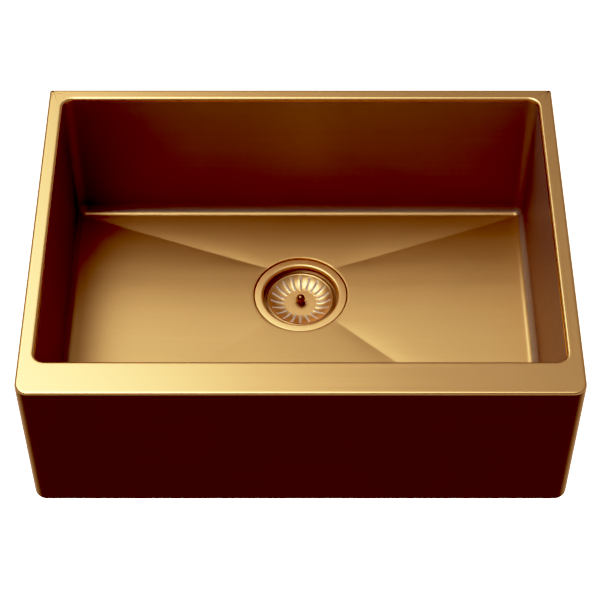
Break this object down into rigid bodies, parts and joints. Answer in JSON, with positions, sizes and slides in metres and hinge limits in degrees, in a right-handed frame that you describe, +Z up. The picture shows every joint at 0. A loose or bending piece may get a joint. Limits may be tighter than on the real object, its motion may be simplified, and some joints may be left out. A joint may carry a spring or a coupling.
{
  "type": "apron front kitchen sink",
  "caption": "Single-bowl apron-front kitchen sink in gold-coloured steel, hung by its rim on a cabinet, with a lift-out strainer basket and plug over its drain outlet.",
  "frame": {"origin": "centre of the rim's outline, on the plane of the rim rails' underside, which rests on the cabinet's side panels", "axes": "+X to the user's right, +Y away from the user towards the back edge, +Z up; the apron faces -Y"},
  "size_m": [0.6, 0.45, 0.292],
  "materials": {
    "gold_steel": "satin brushed, gold-coloured vapour-deposited coat",
    "gold_polished": "polished, gold-coloured vapour-deposited coat",
    "zinc_steel": "bright zinc plated",
    "sound_pad": "matt bitumen pad",
    "black_rubber": "satin rubber",
    "white_plastic": "moulded, satin",
    "brass": "turned"
  },
  "bodies": {
    "sink": {"rim_right": "gold_steel", "rim_back": "gold_steel", "rim_left": "gold_steel", "rim_front": "gold_steel", "wall_right": "gold_steel", "wall_back": "gold_steel", "wall_left": "gold_steel", "wall_front": "gold_steel", "bowl_floor": "gold_steel", "apron": "gold_steel", "rim_rail": "zinc_steel", "apron_brace": "zinc_steel", "closer_left": "gold_steel", "closer_right": "gold_steel", "bracket_left": "zinc_steel", "bracket_right": "zinc_steel", "pad_front": "sound_pad", "pad_back": "sound_pad", "pad_floor_left": "sound_pad", "pad_floor_right": "sound_pad", "pad_floor_front": "sound_pad", "earth_tag": "zinc_steel", "strainer_cup": "gold_polished", "flange_gasket": "black_rubber", "body_gasket": "black_rubber", "waste_housing": "white_plastic", "waste_outlet": "white_plastic", "spider": "white_plastic", "insert": "brass", "clamp_screw": "zinc_steel"},
    "carrier": {"bush": "white_plastic"},
    "strainer": {"basket": "gold_polished"},
    "plug": {"stem": "zinc_steel", "knob": "gold_polished", "stopper": "black_rubber", "stopper_plate": "zinc_steel"}
  },
  "joints": [
    {"name": "basket_lift", "type": "slide", "parent": "sink", "child": "carrier", "axis": [0, 0, 1], "range_m": [0, 0.26]},
    {"name": "basket_turn", "type": "hinge", "parent": "carrier", "child": "strainer", "pos_m": [0, 0.075, -0.206], "axis": [0, 0, 1], "continuous": true},
    {"name": "plug_lift", "type": "slide", "parent": "carrier", "child": "plug", "axis": [0, 0, 1], "range_m": [0, 0.008]}
  ]
}
